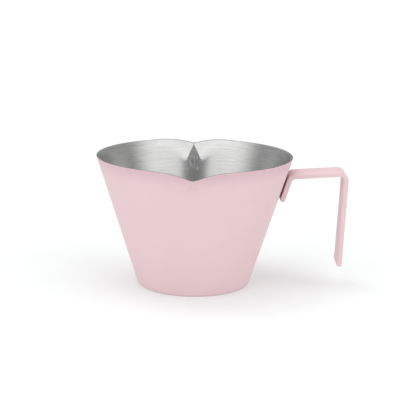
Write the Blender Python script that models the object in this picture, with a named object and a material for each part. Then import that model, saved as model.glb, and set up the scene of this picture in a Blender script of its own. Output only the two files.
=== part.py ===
"""Small double-spout pouring cup: a one-piece conical metal pot with two pressed spouts, and a
handle bent from flat strip that is spot-welded to the wall.

Frame: the origin is the centre of the base, on the cup's axis, and z = 0 is the plane it stands on.
+Z is up, +X points to the handle, and the two spouts point along -Y and +Y. Units are metres.
"""
from math import atan, atan2, cos, hypot, pi, radians, sin, tan

import bmesh
import bpy
from mathutils import Matrix, Vector

# Cup: outside sizes, then the sheet it is drawn from
RIM_RADIUS = 0.0375
HEIGHT = 0.0500
BASE_RADIUS = 0.0215
WALL = 0.0008
BASE_CORNER = 0.0011
INNER_CORNER = 0.0009

# Spouts: a three-sided beak pressed out of the rim
SPOUT_REACH = 0.0037
SPOUT_DIP = 0.0021
SPOUT_HALF_ANGLE = radians(25.0)
RIM_DIP_POWER = 2.9
DIP_ROUNDING = radians(2.2)
TIP_ROUNDING = radians(0.6)
BEAK_DEPTH = 0.0078
BEAK_HALF_WIDTH = 0.0026
BEAK_APEX_DROP = 0.00025
PRESS_SOFTNESS = 0.0014
SPOUT_OFFSET = 0.0006

# Handle: flat strip, from its welded tab along the arm to the free end of the grip
STRIP_WIDTH = 0.0112
STRIP_THICKNESS = 0.0019
STRIP_EDGE = 0.0004
TAB_BEND_RADIUS = 0.0015
GRIP_BEND_RADIUS = 0.0017
TAB_LENGTH = 0.0102
ARM_DROP = 0.0046
ARM_RISE = radians(4.0)
GRIP_REACH = 0.0212
GRIP_LEAN = radians(2.5)
GRIP_BOTTOM = 0.0080

# Spot welds between the tab and the wall
WELD_RADIUS = 0.0012
WELD_POCKET = 0.0010
WELD_PITCH = 0.0036

# Clearance between pieces that touch on the real cup
CLEARANCE = 0.0003

# Mesh fineness
COLUMNS = 120
SPOUT_ROWS = 9
CORNER_STEPS = 4
BEND_STEPS = 8
WELD_SIDES = 24

WALL_SLOPE = (RIM_RADIUS - BASE_RADIUS) / HEIGHT
WALL_LEAN = atan(WALL_SLOPE)
TAU = 2.0 * pi
FOLD_COLUMN = 2
FOLD_MIN_ANGLE = radians(0.4)
WARP_END = radians(45.0)
SPOUT_TURN = SPOUT_OFFSET / (RIM_RADIUS + SPOUT_REACH)
TURN_FADE_START = radians(30.0)


def clear_scene():
    for thing in list(bpy.data.objects):
        bpy.data.objects.remove(thing, do_unlink=True)


def make_material(name, colour, roughness, metallic):
    material = bpy.data.materials.new(name)
    material.use_nodes = True
    shader = material.node_tree.nodes["Principled BSDF"]
    shader.inputs["Base Color"].default_value = (*colour, 1.0)
    shader.inputs["Roughness"].default_value = roughness
    shader.inputs["Metallic"].default_value = metallic
    return material


def link_object(name, bm, material):
    mesh = bpy.data.meshes.new(name)
    bm.to_mesh(mesh)
    bm.free()
    mesh.shade_smooth()
    mesh.set_sharp_from_angle(angle=radians(30.0))
    thing = bpy.data.objects.new(name, mesh)
    thing.data.materials.append(material)
    bpy.context.scene.collection.objects.link(thing)
    return thing


def wall_radius(z, inset=0.0):
    """Radius of the cone at height z, inset by a thickness measured square to the wall."""
    return BASE_RADIUS + WALL_SLOPE * z - inset / cos(WALL_LEAN)


# ---------------------------------------------------------------- spouts

def plane_through(a, b, c):
    """Unit normal that points outwards along +Y, and the plane's distance along it."""
    normal = (b - a).cross(c - a).normalized()
    if normal.y < 0.0:
        normal.negate()
    return normal, normal.dot(a)


def beak_planes():
    """The side face and the middle face of a spout that points along +Y.

    The side face runs from the shoulder on the rim to the tip, and down to the beak's lower
    corner. The middle face is a narrow triangle between two lower corners and the apex, which
    lies on the ridge just below the tip.
    """
    low = HEIGHT - BEAK_DEPTH
    low_angle = BEAK_HALF_WIDTH / wall_radius(low)
    tip = Vector((0.0, RIM_RADIUS + SPOUT_REACH, HEIGHT - SPOUT_DIP))
    shoulder = Vector((RIM_RADIUS * sin(SPOUT_HALF_ANGLE), RIM_RADIUS * cos(SPOUT_HALF_ANGLE), HEIGHT))
    corner = Vector((BEAK_HALF_WIDTH, wall_radius(low) * cos(low_angle), low))
    mirrored = Vector((-corner.x, corner.y, corner.z))
    side = plane_through(tip, corner, shoulder)
    apex_z = tip.z - BEAK_APEX_DROP
    apex = Vector((0.0, ray_to_plane(side, 0.0, apex_z, 0.0), apex_z))
    return side, plane_through(apex, corner, mirrored)


def ray_to_plane(plane, angle, z, inset):
    """Distance from the axis to a plane, moved in by `inset`, at height z and `angle` off +Y."""
    normal, distance = plane
    return (distance - inset - normal.z * z) / (normal.x * sin(angle) + normal.y * cos(angle))


SIDE_FACE, MIDDLE_FACE = beak_planes()


def soft_max(a, b, softness):
    """Larger of a and b, with a rounded change-over instead of a kink."""
    blend = max(softness - abs(a - b), 0.0) / softness
    return max(a, b) + blend * blend * softness / 4.0


def shell_radius(angle, z, inset):
    """Radius of the shell in the direction `angle` away from the nearest spout."""
    cone = wall_radius(z, inset)
    if angle > WARP_END:
        return cone
    within = min(angle, SPOUT_HALF_ANGLE)
    side = ray_to_plane(SIDE_FACE, hypot(within, TIP_ROUNDING), z, inset)
    middle = ray_to_plane(MIDDLE_FACE, within, z, inset)
    beak = min(side, middle) - (angle - within) * RIM_RADIUS
    return soft_max(cone, beak, PRESS_SOFTNESS)


def fold_angle(z, inset):
    """Direction of the fold between the side face and the middle face at height z."""
    (side_n, side_d), (mid_n, mid_d) = SIDE_FACE, MIDDLE_FACE
    forward = (mid_d - inset - mid_n.z * z) / mid_n.y
    sideways = (side_d - inset - side_n.z * z - side_n.y * forward) / side_n.x
    return max(atan2(max(sideways, 0.0), forward), FOLD_MIN_ANGLE)


def warp_angle(angle, z, inset):
    """Slide a column near a spout so that one column always follows the fold."""
    fold_nominal = FOLD_COLUMN * TAU / COLUMNS
    if angle >= WARP_END:
        return angle
    low = HEIGHT - BEAK_DEPTH
    fold = fold_angle(max(z, low), inset)
    settle = min(max((low - z) / BEAK_DEPTH, 0.0), 1.0)
    fold += (fold_nominal - fold) * settle
    if angle <= fold_nominal:
        return angle / fold_nominal * fold
    return fold + (angle - fold_nominal) / (WARP_END - fold_nominal) * (WARP_END - fold)


def offset_turn(angle):
    """Turn that sets a spout off the centre line, away from the handle, fading out beside it."""
    share = (WARP_END - angle) / (WARP_END - TURN_FADE_START)
    return SPOUT_TURN * min(max(share, 0.0), 1.0)


def rim_height(angle):
    """Height of the rim: level all round, dipping in a rounded notch at each spout's tip."""
    reach = hypot(SPOUT_HALF_ANGLE, DIP_ROUNDING) - DIP_ROUNDING
    share = max(1.0 - (hypot(angle, DIP_ROUNDING) - DIP_ROUNDING) / reach, 0.0)
    return HEIGHT - SPOUT_DIP * share ** RIM_DIP_POWER


# ---------------------------------------------------------------- pot body

def corner_arc(radius, floor_z, inset):
    """Half-profile points (r, z) of the rounded corner between the floor and the wall."""
    centre_z = floor_z + radius
    centre_r = wall_radius(centre_z, inset) - radius / cos(WALL_LEAN)
    points = []
    for step in range(CORNER_STEPS + 1):
        turn = -pi / 2 + (pi / 2 - WALL_LEAN) * step / CORNER_STEPS
        points.append((centre_r + radius * cos(turn), centre_z + radius * sin(turn)))
    return points


def wall_rows():
    """Heights of the rings between the base corner and the rim, closer together at the spouts."""
    first = HEIGHT - BEAK_DEPTH - PRESS_SOFTNESS
    rows = [first * 0.5, first * 0.85]
    rows += [first + (HEIGHT - first) * step / SPOUT_ROWS for step in range(SPOUT_ROWS + 1)]
    return rows


def half_profile():
    """Closed half-section of the cup from the underside's centre, up the outside and down inside.

    Each point is (r, z, inset), where inset tells the outer face from the inner one.
    """
    outside = [(0.0, 0.0, 0.0)]
    outside += [(r, z, 0.0) for r, z in corner_arc(BASE_CORNER, 0.0, 0.0)]
    outside += [(wall_radius(z), z, 0.0) for z in wall_rows()]
    inside = [(0.0, WALL, WALL)]
    inside += [(r, z, WALL) for r, z in corner_arc(INNER_CORNER, WALL, WALL)]
    inside += [(wall_radius(z, WALL), z, WALL) for z in wall_rows()]
    return outside, inside


def revolve(bm, points):
    """Spin an open half-profile a full turn about Z."""
    verts = [bm.verts.new((r, 0.0, z)) for r, z, _ in points]
    edges = [bm.edges.new(pair) for pair in zip(verts, verts[1:])]
    bmesh.ops.spin(bm, geom=verts + edges, cent=(0, 0, 0), axis=(0, 0, 1), angle=TAU,
                   steps=COLUMNS, use_merge=True)


def press_spouts(bm, inset):
    """Push the upper wall of a revolved shell out into the two spouts and trim the rim's dips."""
    start = HEIGHT - 2.0 * BEAK_DEPTH
    for vert in bm.verts:
        z = vert.co.z
        if z < start:
            continue
        heading = atan2(vert.co.x, vert.co.y)
        side = -1.0 if abs(heading) > pi / 2 else 1.0
        away = atan2(vert.co.x, side * vert.co.y)
        angle = abs(away)
        if angle > WARP_END:
            continue
        turned = angle
        new_z = z
        for _ in range(4):
            share = (z - start) / (HEIGHT - start)
            new_z = start + (rim_height(turned) - start) * share
            turned = warp_angle(angle, new_z, inset)
        radius = shell_radius(turned, new_z, inset)
        sign = 1.0 if away >= 0.0 else -1.0
        placed = sign * turned - offset_turn(turned)
        vert.co = (radius * sin(placed), side * radius * cos(placed), new_z)


def build_pot_body(material):
    outside, inside = half_profile()
    bm = bmesh.new()
    revolve(bm, outside)
    press_spouts(bm, 0.0)
    inner = bmesh.new()
    revolve(inner, inside)
    press_spouts(inner, WALL)
    bmesh.ops.reverse_faces(inner, faces=inner.faces)
    scratch = bpy.data.meshes.new("inner_face")
    inner.to_mesh(scratch)
    inner.free()
    bm.from_mesh(scratch)
    bpy.data.meshes.remove(scratch)
    bmesh.ops.remove_doubles(bm, verts=bm.verts, dist=1e-6)
    rims = [edge for edge in bm.edges if edge.is_boundary]
    bmesh.ops.bridge_loops(bm, edges=rims)
    bmesh.ops.recalc_face_normals(bm, faces=bm.faces)
    return link_object("pot_body", bm, material)


# ---------------------------------------------------------------- handle

def strip_direction(angle_up):
    """Unit vector in the XZ plane, `angle_up` above +X."""
    return Vector((cos(angle_up), 0.0, sin(angle_up)))


def line_crossing(p, along_p, q, along_q):
    """Where two lines in the XZ plane cross."""
    cross = along_p.x * along_q.z - along_p.z * along_q.x
    gap = q - p
    reach = (gap.x * along_q.z - gap.z * along_q.x) / cross
    return p + along_p * reach


def handle_route():
    """Centre line of the strip: tab's lower end, the two corners, the grip's free end.

    The tab lies along the wall, one clearance off it. The arm's top and the grip's outer face meet
    at a corner that is set from the rim: ARM_DROP below it and GRIP_REACH outside it.
    """
    half = STRIP_THICKNESS / 2
    tab_way = strip_direction(pi / 2 - WALL_LEAN)
    arm_way = strip_direction(ARM_RISE)
    grip_way = strip_direction(-pi / 2 - GRIP_LEAN)
    off_wall = Vector((cos(WALL_LEAN), 0.0, -sin(WALL_LEAN)))
    rim_point = Vector((RIM_RADIUS, 0.0, HEIGHT))
    tab_line = rim_point + off_wall * (CLEARANCE + half)
    outer_corner = rim_point + Vector((GRIP_REACH, 0.0, -ARM_DROP))
    arm_line = outer_corner - Vector((-sin(ARM_RISE), 0.0, cos(ARM_RISE))) * half
    grip_line = outer_corner - Vector((cos(GRIP_LEAN), 0.0, -sin(GRIP_LEAN))) * half
    inner_corner = line_crossing(tab_line, tab_way, arm_line, arm_way)
    grip_corner = line_crossing(arm_line, arm_way, grip_line, grip_way)
    tab_end = inner_corner - tab_way * TAB_LENGTH
    grip_end = grip_corner + grip_way * ((grip_corner.z - GRIP_BOTTOM) / -grip_way.z)
    return [tab_end, inner_corner, grip_corner, grip_end]


def sweep_strip(route):
    """Extrude the strip's end section along the straights and round the bends."""
    bm = bmesh.new()
    start_way = (route[1] - route[0]).normalized()
    across = Vector((0.0, 1.0, 0.0))
    through = across.cross(start_way)
    corners = [(-1, -1), (1, -1), (1, 1), (-1, 1)]
    section = [bm.verts.new(route[0] + across * (a * STRIP_WIDTH / 2) + through * (b * STRIP_THICKNESS / 2))
               for a, b in corners]
    face = bm.faces.new(section)
    here = route[0]
    bend_radii = (TAB_BEND_RADIUS, GRIP_BEND_RADIUS)
    for before, corner, after, inner_radius in zip(route, route[1:], route[2:], bend_radii):
        bend = inner_radius + STRIP_THICKNESS / 2
        way_in = (corner - before).normalized()
        way_out = (after - corner).normalized()
        turn = way_in.angle(way_out)
        run_out = bend * tan(turn / 2)
        bend_start = corner - way_in * run_out
        face = push_face(bm, face, bend_start - here)
        inward = (way_out - way_in * way_in.dot(way_out)).normalized()
        face = bend_face(bm, face, bend_start + inward * bend, turn)
        here = corner + way_out * run_out
    push_face(bm, face, route[-1] - here)
    bmesh.ops.recalc_face_normals(bm, faces=bm.faces)
    return bm


def grow_face(bm, face):
    """Extrude a face in place and return the new face with its corners.

    The very first face stays as the end cap; a later one would be left inside the strip.
    """
    is_inside = any(len(edge.link_faces) > 1 for edge in face.edges)
    grown = bmesh.ops.extrude_face_region(bm, geom=[face])["geom"]
    if is_inside and face.is_valid:
        bm.faces.remove(face)
    corners = [item for item in grown if isinstance(item, bmesh.types.BMVert)]
    new_face = next(item for item in grown if isinstance(item, bmesh.types.BMFace))
    return new_face, corners


def push_face(bm, face, offset):
    new_face, corners = grow_face(bm, face)
    bmesh.ops.translate(bm, verts=corners, vec=offset)
    return new_face


def bend_face(bm, face, centre, turn):
    """Carry the face round a bend about an axis along Y."""
    step = Matrix.Rotation(turn / BEND_STEPS, 3, "Y")
    for _ in range(BEND_STEPS):
        face, corners = grow_face(bm, face)
        bmesh.ops.rotate(bm, verts=corners, cent=centre, matrix=step)
    return face


def weld_places(route):
    """Centres of the lower and upper weld, on the tab's face towards the wall.

    They stand one pitch apart about the middle of the tab's straight part.
    """
    way = (route[1] - route[0]).normalized()
    turn = way.angle((route[2] - route[1]).normalized())
    straight = (route[1] - route[0]).length - (TAB_BEND_RADIUS + STRIP_THICKNESS / 2) * tan(turn / 2)
    towards_wall = Vector((-cos(WALL_LEAN), 0.0, sin(WALL_LEAN)))
    middle = route[0] + way * (straight / 2) + towards_wall * (STRIP_THICKNESS / 2)
    return [middle - way * (WELD_PITCH / 2), middle + way * (WELD_PITCH / 2)], towards_wall


def slug(radius, near, far, place, towards_wall):
    """Round slug whose axis is square to the wall, between two distances from the tab's face."""
    bm = bmesh.new()
    bmesh.ops.create_cone(bm, cap_ends=True, segments=WELD_SIDES, radius1=radius, radius2=radius,
                          depth=far - near)
    facing = Vector((0, 0, 1)).rotation_difference(towards_wall).to_matrix().to_4x4()
    shift = Matrix.Translation(place + towards_wall * ((near + far) / 2))
    bmesh.ops.transform(bm, matrix=shift @ facing, verts=bm.verts)
    return bm


def build_handle(material):
    route = handle_route()
    handle = link_object("handle", sweep_strip(route), material)
    rounded = handle.modifiers.new("rounded_edges", "BEVEL")
    rounded.width = STRIP_EDGE
    rounded.segments = 2
    rounded.limit_method = "ANGLE"
    rounded.angle_limit = radians(40.0)
    places, towards_wall = weld_places(route)
    for index, place in enumerate(places):
        pocket = slug(WELD_RADIUS + CLEARANCE, -WELD_POCKET, CLEARANCE, place, towards_wall)
        cutter = link_object(f"pocket_cutter_{index}", pocket, material)
        cutter.hide_render = True
        cutter.display_type = "WIRE"
        cut = handle.modifiers.new(f"weld_pocket_{index}", "BOOLEAN")
        cut.operation = "DIFFERENCE"
        cut.solver = "EXACT"
        cut.object = cutter
    return handle


def build_welds(material):
    """Fused slugs that join the tab to the wall, each with its clearance to both."""
    places, towards_wall = weld_places(handle_route())
    for name, place in zip(("weld_lower", "weld_upper"), places):
        body = slug(WELD_RADIUS, CLEARANCE - WELD_POCKET, 0.0, place, towards_wall)
        link_object(name, body, material)


def main():
    clear_scene()
    pink_coat = make_material("pink_powder_coat", (0.80, 0.60, 0.64), 0.45, 0.0)
    bare_steel = make_material("bare_steel", (0.55, 0.55, 0.55), 0.35, 1.0)
    build_pot_body(pink_coat)
    build_handle(pink_coat)
    build_welds(bare_steel)


main()
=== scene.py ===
"""Small double-spout pouring cup in pink powder-coated steel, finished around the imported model.

The cup is one deep-drawn steel shell: brushed bare steel inside and on the cut rim, powder coat
outside. Its handle is bent from flat strip, coated with the cup, and spot-welded to the wall.
Everything is in metres: z = 0 is the table, +X points to the handle, the spouts point along -Y
and +Y.
"""

from math import atan, atan2, cos, hypot, pi, radians, sin, tan

import bmesh
import bpy
from mathutils import Matrix, Vector


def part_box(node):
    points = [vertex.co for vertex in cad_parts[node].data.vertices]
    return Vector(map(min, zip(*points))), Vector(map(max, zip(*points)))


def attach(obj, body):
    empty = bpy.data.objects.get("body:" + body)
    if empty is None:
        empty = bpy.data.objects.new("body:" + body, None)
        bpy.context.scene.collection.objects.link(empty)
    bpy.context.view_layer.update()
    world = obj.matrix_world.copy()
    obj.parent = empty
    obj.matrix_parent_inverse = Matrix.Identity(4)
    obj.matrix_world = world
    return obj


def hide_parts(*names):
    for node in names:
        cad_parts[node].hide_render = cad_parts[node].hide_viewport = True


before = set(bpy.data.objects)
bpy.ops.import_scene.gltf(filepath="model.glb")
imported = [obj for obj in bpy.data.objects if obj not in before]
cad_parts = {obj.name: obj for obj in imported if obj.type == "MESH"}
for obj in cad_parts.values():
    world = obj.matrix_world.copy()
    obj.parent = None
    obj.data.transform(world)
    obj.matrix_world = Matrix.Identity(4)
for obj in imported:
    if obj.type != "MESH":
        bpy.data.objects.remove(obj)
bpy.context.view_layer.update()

TAU = 2.0 * pi
MM = 0.001

# Cup: its box gives the rim and the height, the rest is the shape of the drawn sheet
CUP_LOW, CUP_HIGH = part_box("pot_body")
RIM_RADIUS = -CUP_LOW.x
HEIGHT = CUP_HIGH.z
BASE_RADIUS = 21.5 * MM
WALL = 0.8 * MM
BASE_CORNER = 1.1 * MM
INNER_CORNER = 0.9 * MM
RIM_EDGE = 0.25 * MM
COAT_LINE = 0.12 * MM
WALL_SLOPE = (RIM_RADIUS - BASE_RADIUS) / HEIGHT
WALL_LEAN = atan(WALL_SLOPE)

# Spouts: a three-sided beak pressed out of the rim
SPOUT_REACH = 3.7 * MM
SPOUT_DIP = 2.1 * MM
SPOUT_HALF_ANGLE = radians(25.0)
RIM_DIP_POWER = 2.9
DIP_ROUNDING = radians(2.2)
TIP_ROUNDING = radians(0.6)
BEAK_DEPTH = 7.8 * MM
BEAK_HALF_WIDTH = 2.6 * MM
BEAK_APEX_DROP = 0.25 * MM
PRESS_SOFTNESS = 1.4 * MM
SPOUT_OFFSET = 0.6 * MM
FOLD_NOMINAL = radians(6.0)
FOLD_MIN_ANGLE = radians(0.4)
WARP_END = radians(45.0)
SPOUT_TURN = SPOUT_OFFSET / (RIM_RADIUS + SPOUT_REACH)
TURN_FADE_START = radians(30.0)
BEAK_FOOT = HEIGHT - BEAK_DEPTH
PRESS_START = HEIGHT - 2.0 * BEAK_DEPTH
CLOSE_RINGS_START = BEAK_FOOT - 2.0 * PRESS_SOFTNESS

# Handle: flat strip, from its welded tab along the arm to the free end of the grip
STRIP_WIDTH = 11.2 * MM
STRIP_THICKNESS = 1.9 * MM
STRIP_EDGE = 0.4 * MM
STRIP_END = 0.7 * MM
TAB_BEND_RADIUS = 1.5 * MM
GRIP_BEND_RADIUS = 1.7 * MM
TAB_LENGTH = 10.2 * MM
ARM_DROP = 4.6 * MM
ARM_RISE = radians(4.0)
GRIP_REACH = 21.2 * MM
GRIP_LEAN = radians(2.5)
GRIP_BOTTOM = 8.0 * MM
TAB_GAP = 0.3 * MM

# Mesh fineness, and the limits that tell merged points, like areas and sharp edges
COLUMNS = 360
WALL_ROWS = 12
SPOUT_ROWS = 44
CORNER_STEPS = 8
RIM_STEPS = 4
BEND_STEPS = 20
EDGE_STEPS = 4
SETTLE_ROUNDS = 4
MERGE_GAP = 0.001 * MM
AREA_SLACK = 0.01 * MM * MM
SHARP_EDGE = radians(40.0)
CREASE = radians(35.0)
CUP_CREASE = radians(9.0)

# Finishes: colours, with the deeper tone that a finish drifts to
COAT_PINK = "#DEC2C6"
COAT_PINK_DEEP = "#DCC0C4"
# Painted shade: the deeper pink that stands for the shade just under the rim
COAT_PINK_RIM_SHADE = "#D2B2B9"
STEEL = "#D2D2D1"
STEEL_SHADE = "#B2B2B2"
SCUFF = "#ECECEB"
EDGE = "#8C8A88"
EDGE_SHADE = "#757371"
WELD = "#9A9694"
WELD_SHADE = "#7C7672"
FLOOR_WHITE = "#D4D7D7"
PURE_WHITE = "#FFFFFF"

# Finishes: roughness at the deeper tone and at the lighter one, and what a scuff adds to it
COAT_ROUGHNESS = (0.48, 0.54)
BRUSHED_ROUGHNESS = (0.26, 0.36)
EDGE_ROUGHNESS = (0.3, 0.42)
WELD_ROUGHNESS = (0.42, 0.6)
SCUFF_ROUGHNESS = 0.45
FLOOR_ROUGHNESS = 0.8
COAT_IOR = 1.5

# Powder coat: tone clouds, orange peel, and the heights over which painted shade deepens the pink
# towards the rim
CLOUD_SIZE = 14.0 * MM
PEEL_SIZE = 0.5 * MM
PEEL_DEPTH = 0.03 * MM
PEEL_STRENGTH = 0.35
RIM_SHADE_HEIGHTS = (43.5 * MM, 50.5 * MM)

# Metal marks: their spacing across, and how often they change in one radian round the cup
COARSE_MARK = 0.8 * MM
COARSE_RUN = 3.0
FINE_MARK = 0.35 * MM
FINE_RUN = 8.0
FINE_SHARE = 0.4
GROOVE_DEPTH = 0.02 * MM
GROOVE_STRENGTH = 0.5
BRUSH_STRETCH = 0.8
BRUSH_TURN = 0.25
GRIND_MARK = 0.3 * MM
GRIND_RUN = 40.0
WELD_BLOTCH = 0.8 * MM

# Press scuffs: their size, and where they fade out sideways, downwards and upwards
SCUFF_WIDTH = 0.6 * MM
SCUFF_LENGTH = 3.0 * MM
SCUFF_SIDE = (2.2 * MM, 3.6 * MM)
SCUFF_LOW = (37.2 * MM, 38.7 * MM)
SCUFF_HIGH = (42.2 * MM, 43.4 * MM)
SCUFF_CUT = (0.5, 0.65)

# Noise: its detail, its break-up, and the range of it that takes one tone to the other
PLAIN_DETAIL = 2.0
RICH_DETAIL = 3.0
BREAK_UP = 0.6
NOISE_LOW = 0.3
NOISE_HIGH = 0.7

# A Mix node's sockets by number: its share, its two numbers, its two colours, and its results
MIX_SHARE = 0
MIX_NUMBERS = (2, 3)
MIX_COLOURS = (6, 7)
NUMBER_OUT = 0
COLOUR_OUT = 2

# ---------------------------------------------------------------- nodes and materials

def linear(code):
    """An sRGB hex colour as linear RGBA."""
    parts = [int(code[i:i + 2], 16) / 255 for i in (1, 3, 5)]
    return tuple(c / 12.92 if c <= 0.04045 else ((c + 0.055) / 1.055) ** 2.4 for c in parts) + (1.0,)


def add_node(tree, kind, settings=None, values=None, links=None):
    """Add a node, set its settings and socket values, and link its inputs."""
    node = tree.nodes.new(kind)
    for name, value in (settings or {}).items():
        setattr(node, name, value)
    for name, value in (values or {}).items():
        node.inputs[name].default_value = value
    for name, source in (links or {}).items():
        tree.links.new(source, node.inputs[name])
    return node


def new_material(name, values):
    """A material with one Principled shader whose uniform values sit on its own sockets."""
    material = bpy.data.materials.new(name)
    material.use_nodes = True
    tree = material.node_tree
    shader = tree.nodes["Principled BSDF"]
    for socket, value in values.items():
        shader.inputs[socket].default_value = value
    return material, tree, shader


def vary_finish(tree, shader, pattern, tones, roughnesses):
    """Let a noise pattern take a finish's tone and roughness from the deeper to the lighter one."""
    spread = add_node(tree, "ShaderNodeMapRange",
                      values={"From Min": NOISE_LOW, "From Max": NOISE_HIGH},
                      links={"Value": pattern}).outputs["Result"]
    colours = {socket: linear(tone) for socket, tone in zip(MIX_COLOURS, tones)}
    tone = add_node(tree, "ShaderNodeMix", {"data_type": "RGBA"}, colours,
                    {MIX_SHARE: spread}).outputs[COLOUR_OUT]
    roughness = add_node(tree, "ShaderNodeMapRange",
                         values={"To Min": roughnesses[0], "To Max": roughnesses[1]},
                         links={"Value": spread}).outputs["Result"]
    tree.links.new(tone, shader.inputs["Base Color"])
    tree.links.new(roughness, shader.inputs["Roughness"])
    return tone, roughness


def powder_coat():
    """Baked polyester powder coat on steel: satin, with a shallow orange peel 0.5 mm across.

    It gives an even, soft pink with a broad sheen and no sharp highlight. Towards the cut rim its
    tone deepens a little: painted shade, the shade that falls just under the rim.
    """
    material, tree, shader = new_material("pink_powder_coated_steel", {"IOR": COAT_IOR})
    place = add_node(tree, "ShaderNodeTexCoord").outputs["Object"]
    cloud = add_node(tree, "ShaderNodeTexNoise",
                     values={"Scale": 1 / CLOUD_SIZE, "Detail": PLAIN_DETAIL},
                     links={"Vector": place}).outputs["Fac"]
    peel = add_node(tree, "ShaderNodeTexNoise",
                    values={"Scale": 1 / PEEL_SIZE, "Detail": RICH_DETAIL, "Roughness": BREAK_UP},
                    links={"Vector": place}).outputs["Fac"]
    tone, _ = vary_finish(tree, shader, cloud, (COAT_PINK_DEEP, COAT_PINK), COAT_ROUGHNESS)
    # Painted shade: the pink deepens over the top few millimetres towards the rim, standing for the
    # shade there
    height = add_node(tree, "ShaderNodeSeparateXYZ", links={0: place}).outputs["Z"]
    rim_shade_share = add_node(tree, "ShaderNodeMapRange", {"interpolation_type": "SMOOTHSTEP"},
                    {"From Min": RIM_SHADE_HEIGHTS[0], "From Max": RIM_SHADE_HEIGHTS[1]},
                    {"Value": height}).outputs["Result"]
    rim_shaded_tone = add_node(tree, "ShaderNodeMix", {"data_type": "RGBA"},
                       {MIX_COLOURS[1]: linear(COAT_PINK_RIM_SHADE)},
                       {MIX_SHARE: rim_shade_share, MIX_COLOURS[0]: tone}).outputs[COLOUR_OUT]
    tree.links.new(rim_shaded_tone, shader.inputs["Base Color"])
    bumps = add_node(tree, "ShaderNodeBump",
                     values={"Strength": PEEL_STRENGTH, "Distance": PEEL_DEPTH},
                     links={"Height": peel})
    tree.links.new(bumps.outputs["Normal"], shader.inputs["Normal"])
    return material


def round_the_cup(tree, along, across):
    """Coordinates for marks that run round the cup.

    They turn with the direction about the axis, `along` to the radian, and step across the marks
    with the height and the radius, `across` to the metre, so wall and floor are both covered.
    """
    place = add_node(tree, "ShaderNodeTexCoord").outputs["Object"]
    flat = add_node(tree, "ShaderNodeVectorMath", {"operation": "MULTIPLY"},
                    {1: (1.0, 1.0, 0.0)}, {0: place}).outputs["Vector"]
    heading = add_node(tree, "ShaderNodeVectorMath", {"operation": "NORMALIZE"},
                       links={0: flat}).outputs["Vector"]
    radius = add_node(tree, "ShaderNodeVectorMath", {"operation": "LENGTH"},
                      links={0: flat}).outputs["Value"]
    height = add_node(tree, "ShaderNodeSeparateXYZ", links={0: place}).outputs["Z"]
    reach = add_node(tree, "ShaderNodeMath", {"operation": "ADD"},
                     links={0: radius, 1: height}).outputs[0]
    turned = add_node(tree, "ShaderNodeVectorMath", {"operation": "SCALE"},
                      {"Scale": along}, {0: heading}).outputs["Vector"]
    step = add_node(tree, "ShaderNodeMath", {"operation": "MULTIPLY"},
                    {1: across}, {0: reach}).outputs[0]
    lift = add_node(tree, "ShaderNodeCombineXYZ", links={"Z": step}).outputs["Vector"]
    return add_node(tree, "ShaderNodeVectorMath", {"operation": "ADD"},
                    links={0: turned, 1: lift}).outputs["Vector"]


def press_scuffs(tree):
    """Short upright scuffs that the press leaves under each spout: 1 on a scuff, 0 elsewhere."""
    place = add_node(tree, "ShaderNodeTexCoord").outputs["Object"]
    drawn = add_node(tree, "ShaderNodeVectorMath", {"operation": "MULTIPLY"},
                     {1: (1 / SCUFF_WIDTH, 0.0, 1 / SCUFF_LENGTH)}, {0: place}).outputs["Vector"]
    lines = add_node(tree, "ShaderNodeTexNoise", values={"Scale": 1.0, "Detail": PLAIN_DETAIL},
                     links={"Vector": drawn}).outputs["Fac"]
    scuffs = add_node(tree, "ShaderNodeMapRange",
                      values={"From Min": SCUFF_CUT[0], "From Max": SCUFF_CUT[1]},
                      links={"Value": lines}).outputs["Result"]
    parts = add_node(tree, "ShaderNodeSeparateXYZ", links={0: place}).outputs
    centred = add_node(tree, "ShaderNodeMath", {"operation": "ADD"}, {1: SPOUT_OFFSET},
                       {0: parts["X"]}).outputs[0]
    sideways = add_node(tree, "ShaderNodeMath", {"operation": "ABSOLUTE"},
                        links={0: centred}).outputs[0]
    for source, (start, end), before, after in (
            (sideways, SCUFF_SIDE, 1.0, 0.0), (parts["Z"], SCUFF_LOW, 0.0, 1.0),
            (parts["Z"], SCUFF_HIGH, 1.0, 0.0)):
        near = add_node(tree, "ShaderNodeMapRange", {"interpolation_type": "SMOOTHSTEP"},
                        {"From Min": start, "From Max": end, "To Min": before, "To Max": after},
                        {"Value": source}).outputs["Result"]
        scuffs = add_node(tree, "ShaderNodeMath", {"operation": "MULTIPLY"},
                          links={0: scuffs, 1: near}).outputs[0]
    return scuffs


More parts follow.
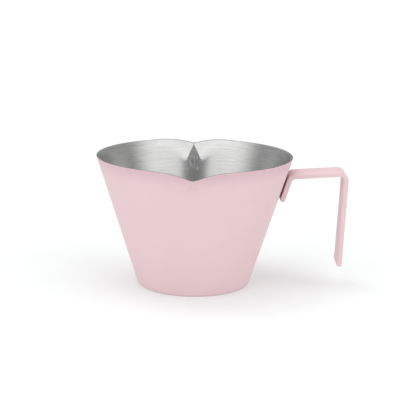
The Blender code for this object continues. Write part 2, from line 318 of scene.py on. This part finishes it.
def brushed_inside():
    """Stainless steel brushed round and round with an abrasive pad, marks 0.1 mm apart.

    The marks are drawn 0.35 mm and more apart so that they show. They stretch each reflection up
    and down, so the wall shows upright bright and dark bands crossed by fine level streaks.
    """
    material, tree, shader = new_material("brushed_stainless_inside", {
        "Metallic": 1.0, "Anisotropic": BRUSH_STRETCH, "Anisotropic Rotation": BRUSH_TURN})
    layers = []
    for run, mark, detail in (
            (COARSE_RUN, COARSE_MARK, RICH_DETAIL), (FINE_RUN, FINE_MARK, PLAIN_DETAIL)):
        layers.append(add_node(tree, "ShaderNodeTexNoise",
                               values={"Scale": 1.0, "Detail": detail, "Roughness": BREAK_UP},
                               links={"Vector": round_the_cup(tree, run, 1 / mark)}).outputs["Fac"])
    streaks = add_node(tree, "ShaderNodeMix", {"data_type": "FLOAT"}, {MIX_SHARE: FINE_SHARE},
                       dict(zip(MIX_NUMBERS, layers))).outputs[NUMBER_OUT]
    tone, roughness = vary_finish(tree, shader, streaks, (STEEL_SHADE, STEEL), BRUSHED_ROUGHNESS)
    scuffs = press_scuffs(tree)
    scuffed_tone = add_node(tree, "ShaderNodeMix", {"data_type": "RGBA"},
                            {MIX_COLOURS[1]: linear(SCUFF)},
                            {MIX_SHARE: scuffs, MIX_COLOURS[0]: tone}).outputs[COLOUR_OUT]
    scuffed_roughness = add_node(tree, "ShaderNodeMath", {"operation": "MULTIPLY_ADD"},
                                 {1: SCUFF_ROUGHNESS}, {0: scuffs, 2: roughness}).outputs[0]
    tree.links.new(scuffed_tone, shader.inputs["Base Color"])
    tree.links.new(scuffed_roughness, shader.inputs["Roughness"])
    grooves = add_node(tree, "ShaderNodeBump",
                       values={"Strength": GROOVE_STRENGTH, "Distance": GROOVE_DEPTH},
                       links={"Height": streaks})
    tree.links.new(grooves.outputs["Normal"], shader.inputs["Normal"])
    tangent = add_node(tree, "ShaderNodeTangent", {"direction_type": "RADIAL", "axis": "Z"})
    tree.links.new(tangent.outputs["Tangent"], shader.inputs["Tangent"])
    return material


def cut_edge():
    """Trimmed and lightly deburred edge of the steel sheet: a narrow darker, duller metal line.

    The deburring marks are finer than 0.1 mm. They are drawn 0.3 mm apart so that they show.
    """
    material, tree, shader = new_material("trimmed_stainless_edge", {"Metallic": 1.0})
    marks = add_node(tree, "ShaderNodeTexNoise", values={"Scale": 1.0, "Detail": PLAIN_DETAIL},
                     links={"Vector": round_the_cup(tree, GRIND_RUN, 1 / GRIND_MARK)}).outputs["Fac"]
    vary_finish(tree, shader, marks, (EDGE_SHADE, EDGE), EDGE_ROUGHNESS)
    return material


def weld_steel():
    """Fused spot-weld metal: dull grey with a slight heat tint, seen only in the slit."""
    material, tree, shader = new_material("spot_weld_steel", {"Metallic": 1.0})
    place = add_node(tree, "ShaderNodeTexCoord").outputs["Object"]
    tint = add_node(tree, "ShaderNodeTexNoise",
                    values={"Scale": 1 / WELD_BLOTCH, "Detail": PLAIN_DETAIL},
                    links={"Vector": place}).outputs["Fac"]
    vary_finish(tree, shader, tint, (WELD_SHADE, WELD), WELD_ROUGHNESS)
    return material


def table_melamine():
    """Matt white melamine board: a bright, even top that takes soft shadows and mirrors nothing."""
    material, _, _ = new_material("matt_white_melamine", {
        "Base Color": linear(FLOOR_WHITE), "Roughness": FLOOR_ROUGHNESS,
        "Emission Color": linear(PURE_WHITE), "Emission Strength": TABLE_GLOW})
    return material


# The cup's finishes, in the order of its material slots
PINK, EDGE_STEEL, INSIDE_STEEL = range(3)


def finish_mesh(name, bm, materials, crease=CREASE):
    """Turn a bmesh into an object at the origin with smooth shading and sharp creases."""
    mesh = bpy.data.meshes.new(name)
    bm.to_mesh(mesh)
    bm.free()
    mesh.shade_smooth()
    mesh.set_sharp_from_angle(angle=crease)
    for material in materials:
        mesh.materials.append(material)
    piece = bpy.data.objects.new(name, mesh)
    bpy.context.scene.collection.objects.link(piece)
    return piece


# ---------------------------------------------------------------- cup

def wall_radius(z, inset=0.0):
    """Radius of the cone at height z, inset by a thickness measured square to the wall."""
    return BASE_RADIUS + WALL_SLOPE * z - inset / cos(WALL_LEAN)


def plane_through(a, b, c):
    """Unit normal that points outwards along +Y, and the plane's distance along it."""
    normal = (b - a).cross(c - a).normalized()
    if normal.y < 0.0:
        normal.negate()
    return normal, normal.dot(a)


def ray_to_plane(plane, angle, z, inset):
    """Distance from the axis to a plane, moved in by `inset`, at height z and `angle` off +Y."""
    normal, distance = plane
    return (distance - inset - normal.z * z) / (normal.x * sin(angle) + normal.y * cos(angle))


def beak_planes():
    """The side face and the middle face of a spout that points along +Y.

    The side face runs from the shoulder on the rim to the tip, and down to the beak's lower
    corner. The middle face is a narrow triangle between two lower corners and the apex, which
    lies on the ridge just below the tip.
    """
    foot_radius = wall_radius(BEAK_FOOT)
    foot_angle = BEAK_HALF_WIDTH / foot_radius
    tip = Vector((0.0, RIM_RADIUS + SPOUT_REACH, HEIGHT - SPOUT_DIP))
    shoulder = Vector((RIM_RADIUS * sin(SPOUT_HALF_ANGLE), RIM_RADIUS * cos(SPOUT_HALF_ANGLE), HEIGHT))
    corner = Vector((BEAK_HALF_WIDTH, foot_radius * cos(foot_angle), BEAK_FOOT))
    mirrored = Vector((-corner.x, corner.y, corner.z))
    side = plane_through(tip, corner, shoulder)
    apex_z = tip.z - BEAK_APEX_DROP
    apex = Vector((0.0, ray_to_plane(side, 0.0, apex_z, 0.0), apex_z))
    return side, plane_through(apex, corner, mirrored)


SIDE_FACE, MIDDLE_FACE = beak_planes()


def soft_max(a, b, softness):
    """Larger of a and b, with a rounded change-over instead of a kink."""
    blend = max(softness - abs(a - b), 0.0) / softness
    return max(a, b) + blend * blend * softness / 4.0


def shell_radius(angle, z, inset):
    """Radius of the shell in the direction `angle` away from the nearest spout."""
    cone = wall_radius(z, inset)
    if angle > WARP_END:
        return cone
    within = min(angle, SPOUT_HALF_ANGLE)
    side = ray_to_plane(SIDE_FACE, hypot(within, TIP_ROUNDING), z, inset)
    middle = ray_to_plane(MIDDLE_FACE, within, z, inset)
    beak = min(side, middle) - (angle - within) * RIM_RADIUS
    return soft_max(cone, beak, PRESS_SOFTNESS)


def fold_angle(z, inset):
    """Direction of the fold between the side face and the middle face at height z."""
    (side_n, side_d), (mid_n, mid_d) = SIDE_FACE, MIDDLE_FACE
    forward = (mid_d - inset - mid_n.z * z) / mid_n.y
    sideways = (side_d - inset - side_n.z * z - side_n.y * forward) / side_n.x
    return max(atan2(max(sideways, 0.0), forward), FOLD_MIN_ANGLE)


def warp_angle(angle, z, inset):
    """Slide a column near a spout so that one column always follows the fold."""
    if angle >= WARP_END:
        return angle
    fold = fold_angle(max(z, BEAK_FOOT), inset)
    settle = min(max((BEAK_FOOT - z) / BEAK_DEPTH, 0.0), 1.0)
    fold += (FOLD_NOMINAL - fold) * settle
    if angle <= FOLD_NOMINAL:
        return angle / FOLD_NOMINAL * fold
    return fold + (angle - FOLD_NOMINAL) / (WARP_END - FOLD_NOMINAL) * (WARP_END - fold)


def offset_turn(angle):
    """Turn that sets a spout off the centre line, away from the handle, fading out beside it."""
    share = (WARP_END - angle) / (WARP_END - TURN_FADE_START)
    return SPOUT_TURN * min(max(share, 0.0), 1.0)


def rim_height(angle):
    """Height of the rim: level all round, dipping in a rounded notch at each spout's tip."""
    reach = hypot(SPOUT_HALF_ANGLE, DIP_ROUNDING) - DIP_ROUNDING
    share = max(1.0 - (hypot(angle, DIP_ROUNDING) - DIP_ROUNDING) / reach, 0.0)
    return HEIGHT - SPOUT_DIP * share ** RIM_DIP_POWER


def corner_arc(radius, floor_z, inset):
    """Half-section points (r, z) of the rounded corner between the floor and the wall."""
    centre_z = floor_z + radius
    centre_r = wall_radius(centre_z, inset) - radius / cos(WALL_LEAN)
    turns = [-pi / 2 + (pi / 2 - WALL_LEAN) * step / CORNER_STEPS for step in range(CORNER_STEPS + 1)]
    return [(centre_r + radius * cos(turn), centre_z + radius * sin(turn)) for turn in turns]


def wall_heights(start):
    """Heights of the rings up the wall, close together at the spouts, ending below the rim's edge."""
    first, last = CLOSE_RINGS_START, HEIGHT - RIM_EDGE
    lower = [start + (first - start) * step / WALL_ROWS for step in range(1, WALL_ROWS)]
    return lower + [first + (last - first) * step / SPOUT_ROWS for step in range(SPOUT_ROWS + 1)]


def rim_round():
    """Points of the rim from the outer wall's top over to the inner wall's top."""
    points = []
    for step in range(1, RIM_STEPS + 1):
        turn = pi / 2 * step / RIM_STEPS
        z = HEIGHT - RIM_EDGE * (1 - sin(turn))
        points.append((z, RIM_EDGE * (1 - cos(turn))))
    points += [(z, WALL - inset) for z, inset in reversed(points)]
    return [(wall_radius(z, inset), z) for z, inset in points]


def cup_section():
    """Half-section of the cup from the underside's centre, up outside, over the rim, down inside."""
    outer_corner = corner_arc(BASE_CORNER, 0.0, 0.0)
    inner_corner = corner_arc(INNER_CORNER, WALL, WALL)
    outside = [(wall_radius(z), z) for z in wall_heights(outer_corner[-1][1])]
    inside = [(wall_radius(z, WALL), z) for z in wall_heights(inner_corner[-1][1])]
    section = [(0.0, 0.0)] + outer_corner + outside + rim_round()
    return section + inside[::-1] + inner_corner[::-1] + [(0.0, WALL)]


def inset_at(place):
    """How deep a point of the round shell lies under its outer face, square to the wall."""
    return (wall_radius(place.z) - hypot(place.x, place.y)) * cos(WALL_LEAN)


def choose_finish(face):
    """Powder coat outside up to the coat line on the rim, bare steel over the rim and inside."""
    centre = face.calc_center_median()
    depth = inset_at(centre)
    if depth < COAT_LINE or centre.z < WALL / 2:
        return PINK
    if depth < WALL - COAT_LINE and centre.z > HEIGHT - RIM_EDGE:
        return EDGE_STEEL
    return INSIDE_STEEL


def press_spouts(bm):
    """Push the upper wall out into the two spouts and trim the rim's dips.

    A column's turn depends on its height and its height on its turn, so they settle together.
    """
    for vert in bm.verts:
        z = vert.co.z
        if z < PRESS_START:
            continue
        inset = inset_at(vert.co)
        heading = atan2(vert.co.x, vert.co.y)
        side = -1.0 if abs(heading) > pi / 2 else 1.0
        away = atan2(vert.co.x, side * vert.co.y)
        angle = abs(away)
        if angle > WARP_END:
            continue
        share = (z - PRESS_START) / (HEIGHT - PRESS_START)
        turned = angle
        for _ in range(SETTLE_ROUNDS):
            new_z = PRESS_START + (rim_height(turned) - PRESS_START) * share
            turned = warp_angle(angle, new_z, inset)
        radius = shell_radius(turned, new_z, inset)
        sign = 1.0 if away >= 0.0 else -1.0
        placed = sign * turned - offset_turn(turned)
        vert.co = (radius * sin(placed), side * radius * cos(placed), new_z)


def build_cup(materials):
    """Spin the half-section into the shell, give its faces their finishes and press the spouts."""
    bm = bmesh.new()
    verts = [bm.verts.new((r, 0.0, z)) for r, z in cup_section()]
    edges = [bm.edges.new(pair) for pair in zip(verts, verts[1:])]
    bmesh.ops.spin(bm, geom=verts + edges, cent=(0, 0, 0), axis=(0, 0, 1), angle=TAU,
                   steps=COLUMNS, use_merge=True)
    bmesh.ops.remove_doubles(bm, verts=bm.verts, dist=MERGE_GAP)
    bmesh.ops.recalc_face_normals(bm, faces=bm.faces)
    for face in bm.faces:
        face.material_index = choose_finish(face)
    press_spouts(bm)
    return finish_mesh("pouring_cup", bm, materials, CUP_CREASE)


# ---------------------------------------------------------------- handle

def strip_direction(angle_up):
    """Unit vector in the XZ plane, `angle_up` above +X."""
    return Vector((cos(angle_up), 0.0, sin(angle_up)))


def line_crossing(p, along_p, q, along_q):
    """Where two lines in the XZ plane cross."""
    cross = along_p.x * along_q.z - along_p.z * along_q.x
    gap = q - p
    return p + along_p * ((gap.x * along_q.z - gap.z * along_q.x) / cross)


def handle_route():
    """Centre line of the strip: tab's lower end, the two corners, the grip's free end."""
    half = STRIP_THICKNESS / 2
    tab_way = strip_direction(pi / 2 - WALL_LEAN)
    arm_way = strip_direction(ARM_RISE)
    grip_way = strip_direction(-pi / 2 - GRIP_LEAN)
    off_wall = Vector((cos(WALL_LEAN), 0.0, -sin(WALL_LEAN)))
    rim_point = Vector((RIM_RADIUS, 0.0, HEIGHT))
    tab_line = rim_point + off_wall * (TAB_GAP + half)
    outer_corner = rim_point + Vector((GRIP_REACH, 0.0, -ARM_DROP))
    arm_line = outer_corner - Vector((-sin(ARM_RISE), 0.0, cos(ARM_RISE))) * half
    grip_line = outer_corner - Vector((cos(GRIP_LEAN), 0.0, -sin(GRIP_LEAN))) * half
    inner_corner = line_crossing(tab_line, tab_way, arm_line, arm_way)
    grip_corner = line_crossing(arm_line, arm_way, grip_line, grip_way)
    tab_end = inner_corner - tab_way * TAB_LENGTH
    grip_end = grip_corner + grip_way * ((grip_corner.z - GRIP_BOTTOM) / -grip_way.z)
    return [tab_end, inner_corner, grip_corner, grip_end]


def grow_face(bm, face):
    """Extrude a face in place and return the new face with its corners."""
    is_inside = any(len(edge.link_faces) > 1 for edge in face.edges)
    grown = bmesh.ops.extrude_face_region(bm, geom=[face])["geom"]
    if is_inside and face.is_valid:
        bm.faces.remove(face)
    corners = [item for item in grown if isinstance(item, bmesh.types.BMVert)]
    return next(item for item in grown if isinstance(item, bmesh.types.BMFace)), corners


def push_face(bm, face, offset):
    """Carry the face along a straight."""
    new_face, corners = grow_face(bm, face)
    bmesh.ops.translate(bm, verts=corners, vec=offset)
    return new_face


def bend_face(bm, face, centre, turn):
    """Carry the face round a bend about an axis along Y."""
    step = Matrix.Rotation(turn / BEND_STEPS, 3, "Y")
    for _ in range(BEND_STEPS):
        face, corners = grow_face(bm, face)
        bmesh.ops.rotate(bm, verts=corners, cent=centre, matrix=step)
    return face


def sweep_strip(route):
    """Extrude the strip's end section along the straights and round the bends."""
    bm = bmesh.new()
    across = Vector((0.0, 1.0, 0.0))
    through = across.cross((route[1] - route[0]).normalized())
    half_width, half_thickness = STRIP_WIDTH / 2, STRIP_THICKNESS / 2
    section = [bm.verts.new(route[0] + across * (a * half_width) + through * (b * half_thickness))
               for a, b in [(-1, -1), (1, -1), (1, 1), (-1, 1)]]
    face = bm.faces.new(section)
    here = route[0]
    radii = (TAB_BEND_RADIUS, GRIP_BEND_RADIUS)
    for before, corner, after, inner_radius in zip(route, route[1:], route[2:], radii):
        bend = inner_radius + STRIP_THICKNESS / 2
        way_in = (corner - before).normalized()
        way_out = (after - corner).normalized()
        turn = way_in.angle(way_out)
        run_out = bend * tan(turn / 2)
        bend_start = corner - way_in * run_out
        face = push_face(bm, face, bend_start - here)
        inward = (way_out - way_in * way_in.dot(way_out)).normalized()
        face = bend_face(bm, face, bend_start + inward * bend, turn)
        here = corner + way_out * run_out
    push_face(bm, face, route[-1] - here)
    bmesh.ops.recalc_face_normals(bm, faces=bm.faces)
    return bm


def round_edges(bm, edges, radius):
    """Round edges with an even fillet."""
    bmesh.ops.bevel(bm, geom=edges, offset=radius, offset_type="OFFSET", affect="EDGES",
                    segments=EDGE_STEPS, profile=0.5, material=-1)


def build_handle(material):
    """Bend the strip, then round its two ends over their width, and its long edges."""
    bm = sweep_strip(handle_route())
    cap_area = STRIP_WIDTH * STRIP_THICKNESS
    caps = [face for face in bm.faces if abs(face.calc_area() - cap_area) < AREA_SLACK
            and all(edge.calc_face_angle(0.0) > SHARP_EDGE for edge in face.edges)]
    crosswise = [edge for face in caps for edge in face.edges
                 if abs(edge.verts[0].co.y - edge.verts[1].co.y) > STRIP_WIDTH / 2]
    round_edges(bm, crosswise, STRIP_END)
    lengthwise = [edge for edge in bm.edges if edge.calc_face_angle(0.0) > SHARP_EDGE]
    round_edges(bm, lengthwise, STRIP_EDGE)
    return finish_mesh("strip_handle", bm, [material])


# ---------------------------------------------------------------- studio

CAMERA_PLACE = Vector((1.05, -471.73, 135.98)) * MM
CAMERA_AIM = Vector((5.34, 0.0, 29.25)) * MM
CAMERA_ROLL = radians(0.94)
CAMERA_LENS = 108.7
CAMERA_SENSOR = 36.0
CAMERA_NEAR = 10.0 * MM

FLOOR_HALF = 6.0
TABLE_GLOW = 0.21

# Soft lamps, in degrees: the turn from behind the camera to its right, the rise, the spread, and
# then the strength
LAMPS = {
    "overhead": (0.0, 90.0, 25.0, 0.36),
    "left_behind": (-120.0, 66.0, 25.0, 0.443),
    "right_behind": (130.0, 40.0, 30.0, 0.205),
    "low_right": (80.0, 12.0, 20.0, 0.219),
    "low_left": (-40.0, 12.0, 20.0, 0.254),
}

# Studio walls, by direction: the turn away from behind the camera, and the rise above the table
ROOM_FRONT = 0.27
ROOM_BACK = 0.5
PANEL_LIGHT = 1.15
PANEL_INNER = (radians(13.0), radians(21.0))
PANEL_OUTER = (radians(36.0), radians(82.0))
PANEL_WIDENING = 0.8
PANEL_TOP = (radians(64.0), radians(80.0))
BACK_LIGHT = 0.42
BACK_TURN = (radians(125.0), radians(150.0))
BACK_LOW = (radians(25.0), radians(40.0))
BACK_TOP = (radians(72.0), radians(86.0))


def add_camera():
    """The camera stands at the table's front, turned level and then rolled a little."""
    data = bpy.data.cameras.new("camera")
    data.lens = CAMERA_LENS
    data.sensor_width = CAMERA_SENSOR
    data.clip_start = CAMERA_NEAR
    camera = bpy.data.objects.new("camera", data)
    camera.location = CAMERA_PLACE
    level = (CAMERA_AIM - CAMERA_PLACE).to_track_quat("-Z", "Y").to_matrix()
    camera.rotation_euler = (level @ Matrix.Rotation(CAMERA_ROLL, 3, "Z")).to_euler()
    bpy.context.scene.collection.objects.link(camera)
    bpy.context.scene.camera = camera


def add_studio():
    """A dim wall behind the camera, a tall soft panel on each side of it, and a glow at the back."""
    world = bpy.data.worlds.new("studio")
    world.use_nodes = True
    bpy.context.scene.world = world
    bpy.context.scene.view_settings.view_transform = "Standard"
    tree = world.node_tree

    way = add_node(tree, "ShaderNodeTexCoord").outputs["Generated"]
    parts = add_node(tree, "ShaderNodeSeparateXYZ", links={0: way}).outputs
    sideways = add_node(tree, "ShaderNodeMath", {"operation": "ABSOLUTE"},
                        links={0: parts["X"]}).outputs[0]
    frontal = add_node(tree, "ShaderNodeMath", {"operation": "MULTIPLY"}, {1: -1.0},
                       {0: parts["Y"]}).outputs[0]
    turn = add_node(tree, "ShaderNodeMath", {"operation": "ARCTAN2"},
                    links={0: sideways, 1: frontal}).outputs[0]
    rise = add_node(tree, "ShaderNodeMath", {"operation": "ARCSINE"},
                    links={0: parts["Z"]}).outputs[0]
    widened = add_node(tree, "ShaderNodeMath", {"operation": "MULTIPLY_ADD"}, {1: -PANEL_WIDENING},
                       {0: rise, 2: turn}).outputs[0]
    fades = []
    for source, (start, end), low, high in (
            (turn, (0.0, pi / 2), ROOM_FRONT, ROOM_BACK),
            (turn, PANEL_INNER, 0.0, PANEL_LIGHT), (widened, PANEL_OUTER, 1.0, 0.0),
            (rise, PANEL_TOP, 1.0, 0.0),
            (turn, BACK_TURN, 0.0, BACK_LIGHT), (rise, BACK_LOW, 0.0, 1.0), (rise, BACK_TOP, 1.0, 0.0)):
        fades.append(add_node(tree, "ShaderNodeMapRange", {"interpolation_type": "SMOOTHSTEP"},
                              {"From Min": start, "From Max": end, "To Min": low, "To Max": high},
                              {"Value": source}).outputs["Result"])
    strength, panels, back = fades[0], fades[1:4], fades[4:7]
    for light, side_fade, top_fade in (panels, back):
        cut = add_node(tree, "ShaderNodeMath", {"operation": "MULTIPLY"},
                       links={0: side_fade, 1: top_fade}).outputs[0]
        strength = add_node(tree, "ShaderNodeMath", {"operation": "MULTIPLY_ADD"},
                            links={0: light, 1: cut, 2: strength}).outputs[0]
    background = tree.nodes["Background"]
    background.inputs["Color"].default_value = linear(PURE_WHITE)
    tree.links.new(strength, background.inputs["Strength"])


def add_lamps():
    """Soft lamps that light the coat and the table. They don't show in any reflection."""
    for name, (turn, rise, spread, strength) in LAMPS.items():
        data = bpy.data.lights.new(name, "SUN")
        data.angle = radians(spread)
        data.energy = strength
        level = cos(radians(rise))
        way = Vector((level * sin(radians(turn)), -level * cos(radians(turn)), sin(radians(rise))))
        lamp = bpy.data.objects.new(name, data)
        lamp.rotation_euler = way.to_track_quat("Z", "Y").to_euler()
        lamp.visible_glossy = False
        bpy.context.scene.collection.objects.link(lamp)


def add_floor():
    """A wide table top at the base's height. Its glow fills in the shadows."""
    bm = bmesh.new()
    bmesh.ops.create_grid(bm, x_segments=1, y_segments=1, size=FLOOR_HALF)
    floor = finish_mesh("table_top", bm, [table_melamine()])


# ---------------------------------------------------------------- assembly

add_camera()
add_studio()
add_lamps()
add_floor()

coat = powder_coat()
cup = build_cup([coat, cut_edge(), brushed_inside()])
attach(cup, "root")
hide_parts("pot_body")

handle = build_handle(coat)
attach(handle, "root")
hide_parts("handle")

weld_finish = weld_steel()
for weld_name in ("weld_lower", "weld_upper"):
    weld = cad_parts[weld_name]
    for material_slot in weld.material_slots:
        material_slot.material = weld_finish
